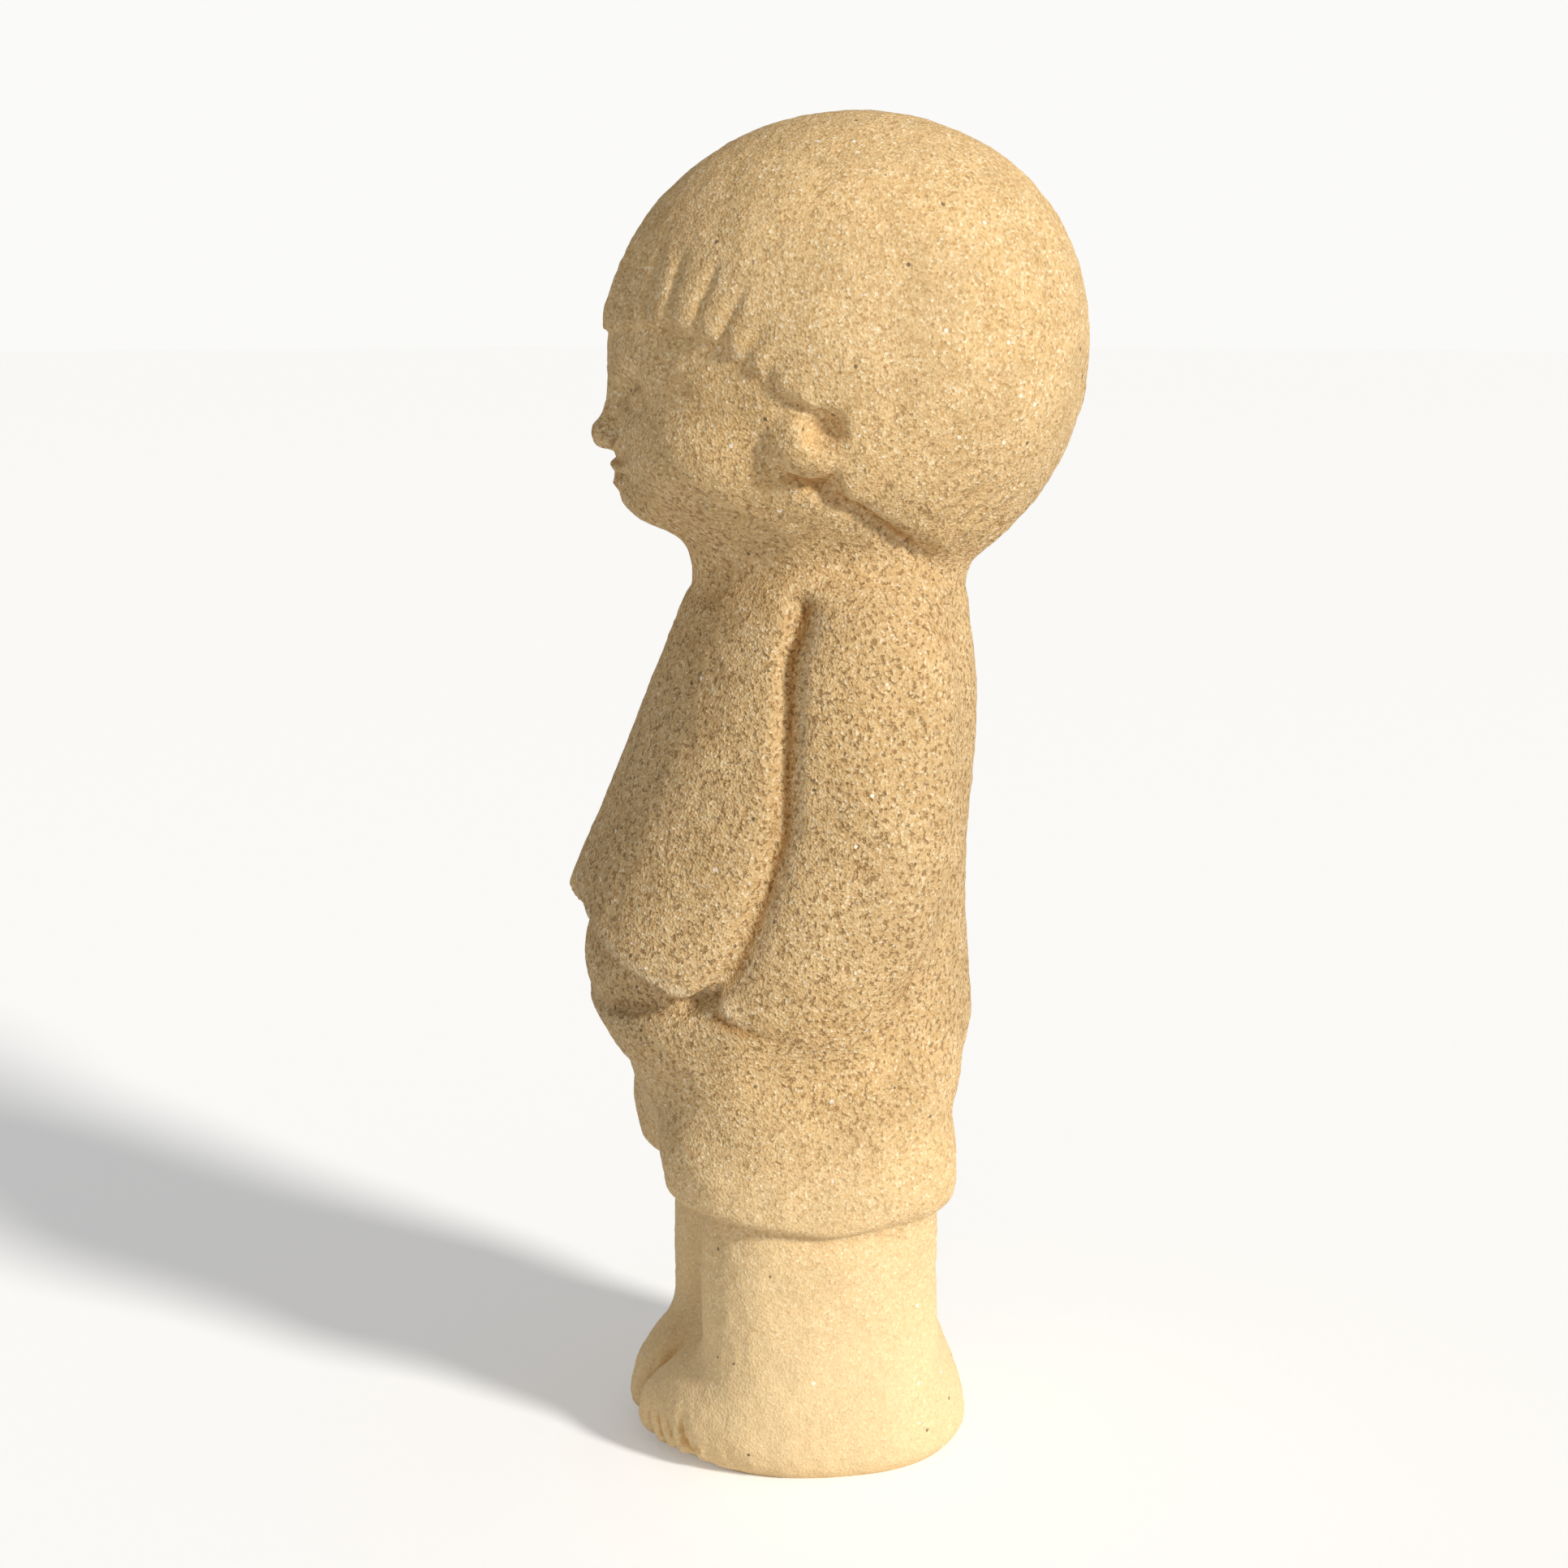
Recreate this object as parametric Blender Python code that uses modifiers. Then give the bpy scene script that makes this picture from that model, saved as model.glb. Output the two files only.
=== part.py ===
"""A small stone figure of a boy who stands with his hands in his pockets.

The figure is one solid. It is carved from a turned blank: every point of the blank moves in to the
figure's surface, which is the union of rounded masses less the carved lines. The figure faces -Y,
its left side is +X, and it stands on the ground plane with the origin under its middle.
"""

import bmesh
import bpy
import numpy as np

# The one driving size, in metres: from the soles to the crown
HEIGHT = 0.400

# Proportions are kept as shares of the height, and one share is a four-hundredth of it
SHARE = HEIGHT / 400

# Blank and facets. HEART is the line that the carving works towards: (y, lowest, highest)
BLANK_SIDES = 144
BLANK_RING_STEP = 1.5
BLANK_RADIUS = 86.0
BLANK_RANGE = (-12.0, 404.0)
HEART = (4.0, -8.0, 396.0)
REMESH_GRAIN = 2.2
FACETS = 9600

# Least fillet in a carved corner, so that the facets can follow it
LEAST_FILLET = 2.2

# Head: one round mass of hair, seen from the side almost a ball
HEAD_CENTRE = (0.0, 14.2, 330.0)
HEAD_RADII = (62.5, 71.6, 70.0)
HEAD_POWER = 2.07
HEAD_LEAN = 0.055
HAIR_THICKNESS = 2.6

# Length of one degree of turn on the head
DEGREE = 3.14159 / 180 * (HEAD_RADII[0] + HEAD_RADII[1]) / 2

# Lower edge of the hair: (turn in degrees from the front, height)
HAIR_EDGE = (
    (0, 337.5), (20, 339.5), (40, 340.0), (50, 336.0), (60, 328.0), (67, 323.0), (72, 319.5),
    (76, 313.5), (79, 300.0), (86, 293.0), (98, 285.5), (108, 281.0), (122, 275.0), (145, 268.0),
    (180, 265.0),
)

# Grooves between the locks of the fringe: (turn at the edge, length up, lean of the upper end)
FRINGE_GROOVES = (
    (0.0, 20, 0.0), (6.2, 23, -0.4), (12.4, 21, -1.0), (18.6, 23, -1.5), (25.2, 21, -1.0),
    (33.8, 20, 0.0), (42.5, 18, 3.0), (50.0, 15, 4.0), (56.5, 11, 4.0), (62.0, 8, 4.0),
)

# Grooves in the hair over the nape: turn of each lower end
NAPE_GROOVES = (86, 97, 106, 113, 120, 127, 135, 144, 154, 165)
NAPE_CREASE = ((72, 300.0), (77, 295.5), (85, 292.0), (98, 284.0), (108, 279.5), (122, 273.5), (140, 267))

NAPE_DEPTH = 3.0

# Rounded masses of the face and ear: (middle, radii)
JAW = ((0.0, -4.0, 306.0), (48.0, 44.5, 24.0))
CHEEK = ((20.0, -25.0, 304.0), (26.0, 24.5, 18.0))
CHIN = ((0.0, -37.0, 291.5), (17.0, 15.0, 9.5))
EYE_SOCKET = ((17.5, -58.0, 322.5), (11.5, 9.5, 7.5))
EYEBALL = ((16.5, -44.6, 320.5), (8.4, 6.6, 5.4))
NOSTRIL = ((4.4, -52.2, 307.0), (3.6, 4.6, 3.3))
UPPER_LIP = ((2.6, -50.6, 299.3), (7.0, 3.9, 2.6))
LOWER_LIP = ((0.0, -50.4, 295.3), (7.4, 4.0, 2.7))
EAR = ((50.6, -7.2, 309.8), (9.4, 12.2, 11.0))
EAR_HOLLOW = ((62.4, -5.0, 313.8), (8.6, 6.8, 6.6))

# Carved lines of the face, seen from the front, and the ridge of the nose: (x, y, z, radius)
UPPER_LID = ((8.0, 319.5), (12.0, 323.0), (17.0, 324.2), (22.0, 322.4), (25.0, 319.0))
LOWER_LID = ((9.0, 318.0), (13.0, 316.4), (18.0, 316.0), (23.0, 317.4))
MOUTH = ((0.0, 297.0), (4.0, 297.5), (9.4, 297.4))
NOSE = ((0.0, -49.5, 324.0, 3.4), (0.0, -53.2, 314.0, 3.6), (0.0, -55.6, 309.0, 4.6))

# Line under the ear, seen from the side
EAR_CREASE = ((-13.0, 300.5), (-6.0, 298.6), (1.0, 300.5))

# Neck, and the jacket over chest and back: (height, front, back, half-width)
NECK_CENTRE = (0.0, 10.0)
NECK_HALF = (38.0, 40.5)
NECK_RANGE = (250.0, 286.0)
JACKET_SECTIONS = (
    (104, -97, 47.5, 48), (120, -90.5, 51.0, 50), (135, -84.2, 53.2, 51), (150, -78.0, 52.0, 51.5),
    (176, -67.2, 50.4, 51.5), (205, -54.6, 51.8, 50.5), (236, -41.8, 53.0, 48.5), (256, -33.7, 50.4, 45),
    (266, -30.0, 48, 42), (276, -26, 44, 37),
)
JACKET_TOP = 262.5
COLLAR_RISE = 0.0088
JACKET_POWER = 2.25

# The open front of the jacket ends in an upside-down V: height at the middle, slope and bend
HEM_PEAK = 176.5
HEM_SLOPE = 0.22
HEM_BEND = 0.0072
BACK_HEM = 113.0

# Arm from the shoulder down to the hand in its pocket: (x, y, z, radius)
ARM_CHAIN = (
    (38.0, 12.5, 243.0, 25.0), (41.5, 12.5, 208.0, 25.5), (42.5, 6.5, 176.0, 26.0),
    (42.0, -5.0, 155.0, 24.5), (39.0, -21.0, 143.0, 17.5), (34.5, -33.0, 138.0, 10.5),
)
ARM_FLATNESS = 0.64
ARM_GROOVE = ((-6, 262), (-11, 248), (-12.5, 225), (-14, 200), (-20, 180), (-28, 161), (-39, 148))
ELBOW_CREASE = ((27, 160), (24, 153), (18, 144), (8, 133))
SHOULDER_CREASE = ((17, 261), (29, 259), (35, 252), (40, 244))

# Belly, trousers and their hems
BELLY_CENTRE = (0.0, -9.0, 153.0)
BELLY_RADII = (47.5, 54.8, 34.0)
HIPS_SECTIONS = (
    (80, -41.2, 42.6, 50.2), (96, -44.2, 43.8, 50.6), (106, -46.0, 45.4, 51.0), (114, -49.0, 47.8, 51),
    (121, -51.4, 48.6, 50.4), (131, -58.0, 46.5, 49.0), (139, -61.9, 45, 48.5), (150, -61.3, 45, 48),
)
HIPS_POWER = 2.6
RIM_HEIGHT = 141.0
SHORTS_MIDDLE = 25.0
SHORTS_HALF_WIDTH = 25.6
SHORTS_FRONT = -41.8
SHORTS_FLARE = 0.2
SHORTS_BACK = 43.4
SHORTS_HEM = 77.0
SHORTS_HEM_RISE = 0.2
SHORTS_HEM_LIFT = 0.03

# Legs and feet
LEG_CENTRE = (24.0, 2.4)
LEG_HALF = (22.2, 35.8)
WEB_CENTRE = (0.0, 4.0)
WEB_HALF = (24.0, 31.0)
WEB_POWER = 5.0
SHIN_FROM = 16.0
FOOT_WIDEST = 8.0
FOOT_POWER = 2.25
FOOT_SECTIONS = (
    (-5, -34, 43, 39), (0, -39.8, 48.8, 44.6), (3, -44.4, 51.4, 47.2), (6, -47.2, 51.8, 48.2),
    (10, -49.8, 51.4, 48.8), (14, -50.4, 50.8, 49.0), (18, -49.4, 49.6, 48.8), (25, -45.2, 47.0, 48.0),
    (32, -38.4, 44.4, 46.8), (37, -34.2, 43.0, 46.2), (43, -30.4, 40.8, 45.4), (52, -28, 40, 44),
)
FOOT_TOP = 42.0

# Cleft between the feet: its depth, and its half-width by height
CLEFT_DEPTH = 9.0
CLEFT_WIDTH = ((0, 2.6), (9, 2.8), (15, 3.4), (20, 4.4), (26, 7.0), (34, 10.0))

# Toes, the great toe first: (x, y, radius)
TOES = ((8.2, -44.4, 6.2), (16.8, -44.0, 3.9), (21.9, -42.3, 3.4), (26.4, -39.3, 3.7), (30.9, -34.9, 3.4))
TOE_HEIGHT = 10.0
TOE_RISE = 7.0
TOE_POWER = 2.3

# Where the arm lies, so that it is worked out only there: (from the middle, lowest, highest)
ARM_RANGE = (12.0, 105.0, 285.0)
ARM_BLEND = 7.0

# Groove between the arm and the jacket, and the crease below it. Fades: (height, range)
GROOVE_DEPTH = 4.2
GROOVE_WIDTH = 3.2
GROOVE_FADE = (148.0, 12.0)
CREASE_DEPTH = 1.1
CREASE_WIDTH = 1.9
CREASE_FADE = (144.0, 16.0)

# Heights where the head alone and the body alone make the surface
HEAD_FROM = 240.0
BODY_TO = 300.0
FAR_AWAY = 100.0

STONE_COLOUR = (0.68, 0.47, 0.24, 1.0)
STONE_ROUGHNESS = 0.92


def flow(at, knots):
    """Read a smooth curve through knots of (place, value) at many places."""
    places, values = np.array(knots, float).T
    slopes = np.gradient(values, places)
    at = np.clip(at, places[0], places[-1])
    left = np.clip(np.searchsorted(places, at) - 1, 0, len(places) - 2)
    span = places[left + 1] - places[left]
    t = (at - places[left]) / span
    rise = values[left + 1] - values[left]
    start, end = slopes[left] * span, slopes[left + 1] * span
    return values[left] + t * (start + t * (3 * rise - 2 * start - end + t * (start + end - 2 * rise)))


def blend(a, b, softness):
    """Join two masses with a soft fillet."""
    softness = np.maximum(softness, LEAST_FILLET)
    h = np.clip(0.5 + 0.5 * (b - a) / softness, 0, 1)
    return b + (a - b) * h - softness * h * (1 - h)


def limit(a, b, softness):
    """Keep what lies in both masses, with a soft edge."""
    return -blend(-a, -b, softness)


def lump(p, centre, radii, power=2.0):
    """Distance to an ellipsoid, boxier for a higher power."""
    offset = p - np.array(centre, float)
    reach = np.sum(np.abs(offset / radii) ** power, axis=1) ** (1 / power)
    away = np.linalg.norm(offset, axis=1)
    return away - away / np.maximum(reach, 1e-6)


def column(p, centre, half, power=2.0):
    """Distance to an endless upright column; centre and half may vary from point to point."""
    x, y = p[:, 0] - centre[0], p[:, 1] - centre[1]
    reach = (np.abs(x / half[0]) ** power + np.abs(y / half[1]) ** power) ** (1 / power)
    away = np.hypot(x, y)
    return away - away / np.maximum(reach, 1e-6)


def sections(p, rows, power):
    """Distance to a column whose front, back and half-width follow the rows of sections."""
    rows = np.array(rows, float)
    front, back, width = (flow(p[:, 2], rows[:, (0, k)]) for k in (1, 2, 3))
    return column(p, (0.0, (front + back) / 2), (width, (back - front) / 2), power)


def limb(p, chain, flatness):
    """Distance to a smooth chain of round cones of (x, y, z, radius), flattened across X."""
    scale = np.array((1 / flatness, 1.0, 1.0))
    rows = np.array(chain, float)
    marks = np.arange(len(rows))
    fine = np.linspace(0, marks[-1], 16 * marks[-1] + 1)
    x, y, z, radius = (flow(fine, np.column_stack((marks, row))) for row in rows.T)
    joints = np.column_stack((x, y, z))
    nearest, thickness = np.full(len(p), np.inf), np.zeros(len(p))
    for start, end, r0, r1 in zip(joints[:-1], joints[1:], radius[:-1], radius[1:]):
        along = (end - start) * scale
        offset = (p - start) * scale
        t = np.clip(offset @ along / (along @ along), 0, 1)
        away = np.linalg.norm(offset - t[:, None] * along, axis=1)
        thickness = np.where(away < nearest, r0 + (r1 - r0) * t, thickness)
        nearest = np.minimum(nearest, away)
    return nearest - thickness


def stroke(a, b, route, width):
    """Depth, from 0 to 1, of a line carved along a route in a plane."""
    nearest = np.full(len(a), np.inf)
    for (a0, b0), (a1, b1) in zip(route[:-1], route[1:]):
        da, db = a1 - a0, b1 - b0
        t = np.clip(((a - a0) * da + (b - b0) * db) / (da * da + db * db), 0, 1)
        nearest = np.minimum(nearest, np.hypot(a - a0 - t * da, b - b0 - t * db))
    return np.exp(-((nearest / width) ** 2))


def step(value, middle, width):
    """Rise smoothly from 0 to 1 across a middle value."""
    t = np.clip((value - middle) / width + 0.5, 0, 1)
    return t * t * (3 - 2 * t)


def upright(p):
    """Points of the head as they would be if it did not lean back a little."""
    return np.column_stack((p[:, 0], p[:, 1] - HEAD_LEAN * (p[:, 2] - HEAD_CENTRE[2]), p[:, 2]))


def head_turn(p):
    """Angle round the head in degrees: 0 at the front, 90 at either side, 180 behind."""
    x = np.abs(p[:, 0]) / HEAD_RADII[0]
    y = (HEAD_CENTRE[1] - p[:, 1]) / HEAD_RADII[1]
    return np.degrees(np.arctan2(x, y))


def locks(turn, z):
    """Depth of the grooves between the locks, and how far each one notches the hair's edge."""
    depth, notch = np.zeros(len(z)), np.zeros(len(z))
    across = turn * DEGREE
    for at, length, lean in FRINGE_GROOVES:
        foot = float(flow(np.array([at]), HAIR_EDGE)[0])
        route = ((at * DEGREE, foot - 4), (at * DEGREE, foot + 4), ((at + lean) * DEGREE, foot + length))
        depth += 1.6 * stroke(across, z, route, 1.7) * (1 - step(z, foot + length, 10))
        notch += 2.4 * np.exp(-(((turn - at) * DEGREE / 1.8) ** 2))
    for at in NAPE_GROOVES:
        foot = float(flow(np.array([at]), HAIR_EDGE)[0])
        route = ((at * DEGREE, foot - 2), ((at + 6) * DEGREE, foot + 8), ((at + 22) * DEGREE, foot + 22))
        depth += 1.4 * stroke(across, z, route, 1.3) * (1 - step(z, foot + 18, 12))
    return depth, notch


def hair(p):
    """The cap of hair, cut off along its lower edge, with its locks."""
    p = upright(p)
    turn, z = head_turn(p), p[:, 2]
    edge = flow(turn, HAIR_EDGE)
    tilt = (flow(turn + 1, HAIR_EDGE) - flow(turn - 1, HAIR_EDGE)) / 2 / DEGREE
    mass = lump(p, HEAD_CENTRE, HEAD_RADII, HEAD_POWER)
    carved = (z > edge - 12) & (z < edge + 44)
    depth, notch = locks(turn[carved], z[carved])
    mass[carved] += depth
    edge[carved] += notch
    return limit(mass, (edge - z) / np.sqrt(1 + tilt ** 2), 2.2)


def mirrored(p):
    """Points with the right side folded onto the left."""
    return np.column_stack((np.abs(p[:, 0]), p[:, 1], p[:, 2]))


def face(p):
    """A calm child's face of plain proportions, with the skull behind it and the jaw."""
    near = mirrored(p)
    x, y, z = near.T
    skin = tuple(r - HAIR_THICKNESS for r in HEAD_RADII)
    mass = lump(upright(p), HEAD_CENTRE, skin, HEAD_POWER)
    mass = blend(mass, lump(p, *JAW), 7)
    mass = blend(mass, lump(near, *CHEEK), 8)
    mass = blend(mass, lump(p, *CHIN), 7)
    route = [(turn * DEGREE, height) for turn, height in NAPE_CREASE]
    mass = mass + NAPE_DEPTH * stroke(head_turn(upright(p)) * DEGREE, z, route, 2.6)
    mass = limit(mass, -lump(near, *EYE_SOCKET), 5)
    mass = blend(mass, lump(near, *EYEBALL), 1.6)
    front = step(-y, 36, 8)
    mass = mass + front * (stroke(x, z, UPPER_LID, 1.25) + 0.7 * stroke(x, z, LOWER_LID, 1.2))
    mass = blend(mass, limb(p, NOSE, 1.0), 3.5)
    mass = blend(mass, lump(near, *NOSTRIL), 1.8)
    lips = blend(lump(near, *UPPER_LIP), lump(p, *LOWER_LIP), 0.8)
    mass = blend(mass, lips, 1.8)
    return mass + 1.1 * front * stroke(x, z, MOUTH, 1.3)


def ear(p, mass):
    """The ear, half under the hair, with the crease below it."""
    near = mirrored(p)
    mass = blend(mass, lump(near, *EAR), 2.0)
    under = stroke(near[:, 1], near[:, 2], EAR_CREASE, 1.8)
    return mass + 1.4 * under * step(near[:, 0], 46, 6)


def jacket(p):
    """The boxy open jacket, with its neckline, its upside-down V in front and its hem behind."""
    x, y, z = np.abs(p[:, 0]), p[:, 1], p[:, 2]
    mass = sections(p, JACKET_SECTIONS, JACKET_POWER)
    top = JACKET_TOP + COLLAR_RISE * np.minimum(x, 40) ** 2
    mass = limit(mass, z - top, 7)
    mass = mass + 0.9 * np.exp(-(((z - top) / 2.6) ** 2))
    hem = HEM_PEAK - HEM_SLOPE * x - HEM_BEND * x ** 2
    behind = step(y, 8, 50)
    hem = hem + (BACK_HEM - hem) * behind
    return limit(mass, hem - z, 2.3 + 13.5 * behind)


def trousers(p):
    """The trousers: a rim under the belly, the hips, and two short wide legs."""
    near = mirrored(p)
    y, z = near[:, 1], near[:, 2]
    hips = sections(p, HIPS_SECTIONS, HIPS_POWER)
    rim = RIM_HEIGHT + 0.003 * near[:, 0] ** 2
    hips = limit(hips, z - rim, 3.0)
    hips = limit(hips, 96 - 0.006 * near[:, 0] ** 2 - z, 10)
    front = SHORTS_FRONT - SHORTS_FLARE * (z - SHORTS_HEM)
    middle = (SHORTS_MIDDLE, (front + SHORTS_BACK) / 2)
    leg = column(near, middle, (SHORTS_HALF_WIDTH, (SHORTS_BACK - front) / 2), 2.3)
    web = column(p, (0, middle[1]), (SHORTS_MIDDLE, (SHORTS_BACK - front) / 2 - 8))
    leg = blend(leg, web, 4)
    hem = SHORTS_HEM - SHORTS_HEM_RISE * np.minimum(y, 0) + SHORTS_HEM_LIFT * np.maximum(y, 0)
    leg = limit(leg, z - 120, 26)
    leg = limit(leg, hem - z, 3.0 + 6 * step(y, 12, 40))
    return blend(hips, leg, 3)


def legs(p):
    """Bare legs and the two feet, which are one broad foot with a cleft in front."""
    near = mirrored(p)
    x, y, z = near.T
    shin = column(near, LEG_CENTRE, LEG_HALF, 2.2)
    shin = blend(shin, column(p, WEB_CENTRE, WEB_HALF, WEB_POWER), 4)
    shin = limit(limit(shin, z - 100, 8), SHIN_FROM - z, 12)
    rows = np.array(FOOT_SECTIONS, float)
    front, back, width = (flow(z, rows[:, (0, k)]) for k in (1, 2, 3))
    length = np.where(y < FOOT_WIDEST, FOOT_WIDEST - front, back - FOOT_WIDEST)
    foot = limit(column(p, (0, FOOT_WIDEST), (width, length), FOOT_POWER), z - FOOT_TOP, 14)
    mass = blend(shin, foot, 5)
    cleft = np.exp(-((x / flow(z, CLEFT_WIDTH)) ** 2)) * step(-y, 27, 20) * (1 - step(z, 50, 28))
    mass = mass + CLEFT_DEPTH * cleft
    toes = np.full(len(p), FAR_AWAY)
    for x_toe, y_toe, radius in TOES:
        toe = lump(near, (x_toe, y_toe, TOE_HEIGHT), (radius, radius, TOE_RISE), TOE_POWER)
        toes = np.minimum(toes, toe)
    return blend(mass, toes, 1.0)


def head(p):
    """Head, hair and neck."""
    mass = blend(ear(p, face(p)), hair(p), 1.2)
    mass = limit(mass, -lump(mirrored(p), *EAR_HOLLOW), 1.8)
    neck = column(p, NECK_CENTRE, NECK_HALF)
    neck = limit(limit(neck, p[:, 2] - NECK_RANGE[1], 10), NECK_RANGE[0] - p[:, 2], 10)
    return blend(mass, neck, 6)


def body(p):
    """Jacket, belly, trousers, arms, legs and feet."""
    near = mirrored(p)
    x, y, z = near.T
    belly = lump(p, BELLY_CENTRE, BELLY_RADII, 2.1)
    mass = blend(belly, trousers(p), 1.0)
    mass = blend(mass, jacket(p), 1.5)
    arm = np.full(len(p), FAR_AWAY)
    close = (x > ARM_RANGE[0]) & (z > ARM_RANGE[1]) & (z < ARM_RANGE[2])
    arm[close] = limb(near[close], ARM_CHAIN, ARM_FLATNESS)
    mass = blend(mass, arm, ARM_BLEND)
    outer = step(x, 30, 10)
    groove = GROOVE_DEPTH * stroke(y, z, ARM_GROOVE, GROOVE_WIDTH) * step(z, *GROOVE_FADE)
    crease = CREASE_DEPTH * stroke(y, z, ELBOW_CREASE, CREASE_WIDTH) * step(z, *CREASE_FADE)
    mass = mass + (groove + crease) * outer
    mass = mass + 0.7 * stroke(y, z, SHOULDER_CREASE, 2.2) * outer
    return blend(mass, legs(p), 1.2)


def figure(p):
    """Signed distance, about, from points in shares to the whole figure's surface."""
    high, low = p[:, 2] > HEAD_FROM, p[:, 2] < BODY_TO
    upper, lower = np.full(len(p), FAR_AWAY), np.full(len(p), FAR_AWAY)
    upper[high] = head(p[high])
    lower[low] = body(p[low])
    return blend(upper, lower, 3.5)


def slope(p, reach=0.15):
    """Gradient of the figure's distance by central differences."""
    columns = []
    for axis in np.eye(3) * reach:
        columns.append((figure(p + axis) - figure(p - axis)) / (2 * reach))
    return np.column_stack(columns)


def settle(p, rounds, longest):
    """Move points onto the figure's surface along its slope."""
    for _ in range(rounds):
        gradient = slope(p)
        steep = np.maximum(np.sum(gradient ** 2, axis=1), 0.2)
        move = -(figure(p) / steep)[:, None] * gradient
        length = np.linalg.norm(move, axis=1)
        p = p + move * np.minimum(1, longest / np.maximum(length, 1e-9))[:, None]
    return p


def read_points(mesh):
    """Vertices of a mesh, in shares."""
    flat = np.empty(len(mesh.vertices) * 3)
    mesh.vertices.foreach_get("co", flat)
    return flat.reshape(-1, 3) / SHARE


def set_points(mesh, points):
    """Give a mesh vertices that are in shares."""
    mesh.vertices.foreach_set("co", (points * SHARE).ravel())
    mesh.update()


def evaluated_copy(thing):
    """Mesh of an object as its modifiers leave it."""
    graph = bpy.context.evaluated_depsgraph_get()
    return bpy.data.meshes.new_from_object(thing.evaluated_get(graph))


def replace_mesh(thing, mesh):
    """Give an object a new mesh and take its modifiers away."""
    old = thing.data
    thing.modifiers.clear()
    thing.data = mesh
    bpy.data.meshes.remove(old)


def turned_blank(collection):
    """A turned block that holds the whole figure, with rings close enough to carve."""
    profile = bmesh.new()
    low, high = BLANK_RANGE
    rings = int((high - low) / BLANK_RING_STEP)
    last = profile.verts.new((0.0, 0.0, high * SHARE))
    for ring in range(rings + 1):
        height = high + (low - high) * ring / rings
        vertex = profile.verts.new((BLANK_RADIUS * SHARE, 0.0, height * SHARE))
        profile.edges.new((last, vertex))
        last = vertex
    bottom = profile.verts.new((0.0, 0.0, low * SHARE))
    profile.edges.new((last, bottom))
    mesh = bpy.data.meshes.new("blank")
    profile.to_mesh(mesh)
    profile.free()
    thing = bpy.data.objects.new("boy_statue", mesh)
    collection.objects.link(thing)
    turn = thing.modifiers.new("turn", "SCREW")
    turn.steps = turn.render_steps = BLANK_SIDES
    turn.use_merge_vertices = True
    turn.merge_threshold = 0.00001
    return thing


def carve(thing):
    """Move the blank's points in, level by level, until they meet the figure's surface."""
    replace_mesh(thing, evaluated_copy(thing))
    points = read_points(thing.data)
    heart = np.zeros((len(points), 3))
    heart[:, 1] = HEART[0]
    heart[:, 2] = np.clip(points[:, 2], HEART[1], HEART[2])
    ray = points - heart
    length = np.linalg.norm(ray, axis=1)
    reach = np.ones(len(points))
    for _ in range(16):
        gap = figure(heart + ray * reach[:, None])
        reach = np.clip(reach - 0.6 * gap / length, 0, 1)
    set_points(thing.data, heart + ray * reach[:, None])


def even_out(thing):
    """Even the facets, then ease and settle them on the surface by turns."""
    grid = thing.modifiers.new("grid", "REMESH")
    grid.mode = "VOXEL"
    grid.voxel_size = REMESH_GRAIN * SHARE
    replace_mesh(thing, evaluated_copy(thing))
    for longest in (2.0, 1.2, 0.8):
        ease = thing.modifiers.new("ease", "SMOOTH")
        ease.factor = 0.5
        ease.iterations = 4
        replace_mesh(thing, evaluated_copy(thing))
        set_points(thing.data, settle(read_points(thing.data), 2, longest))
    finish = thing.modifiers.new("finish", "SMOOTH")
    finish.factor = 0.4
    finish.iterations = 2
    replace_mesh(thing, evaluated_copy(thing))


def stand_flat(thing):
    """Cut the feet off level with the ground and close the cut."""
    shape = bmesh.new()
    shape.from_mesh(thing.data)
    everything = shape.verts[:] + shape.edges[:] + shape.faces[:]
    cut = bmesh.ops.bisect_plane(
        shape, geom=everything, dist=1e-6, plane_co=(0, 0, 0), plane_no=(0, 0, -1), clear_outer=True
    )
    rim = [item for item in cut["geom_cut"] if isinstance(item, bmesh.types.BMEdge)]
    bmesh.ops.contextual_create(shape, geom=rim)
    shape.to_mesh(thing.data)
    shape.free()


def thin_out(thing):
    """Spend few facets where the surface is plain and more where it is carved."""
    shape = bmesh.new()
    shape.from_mesh(thing.data)
    bmesh.ops.triangulate(shape, faces=shape.faces[:])
    count = len(shape.faces)
    shape.to_mesh(thing.data)
    shape.free()
    fewer = thing.modifiers.new("fewer", "DECIMATE")
    fewer.ratio = min(1.0, FACETS / count)
    replace_mesh(thing, evaluated_copy(thing))


def sandstone():
    """The stone's plain finish."""
    material = bpy.data.materials.new("sandstone")
    material.use_nodes = True
    shader = material.node_tree.nodes["Principled BSDF"]
    shader.inputs["Base Color"].default_value = STONE_COLOUR
    shader.inputs["Roughness"].default_value = STONE_ROUGHNESS
    shader.inputs["Metallic"].default_value = 0.0
    return material


def build():
    """Model the statue in its own collection."""
    for thing in list(bpy.data.objects):
        bpy.data.objects.remove(thing)
    collection = bpy.data.collections.new("stone boy statue")
    bpy.context.scene.collection.children.link(collection)
    statue = turned_blank(collection)
    carve(statue)
    even_out(statue)
    stand_flat(statue)
    thin_out(statue)
    statue.data.materials.append(sandstone())
    statue.data.shade_smooth()
    statue.data.set_sharp_from_angle(angle=np.radians(50))


build()
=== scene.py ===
"""The stone boy statue as it looks: fine carving, weathered sandstone, a pale floor, soft light and a
camera.

The figure is carved here again, at a finer grain than the solid part, by the same rounded masses and
carved lines. It faces -Y, its left side is +X, and it stands on the ground plane.
"""

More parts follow.
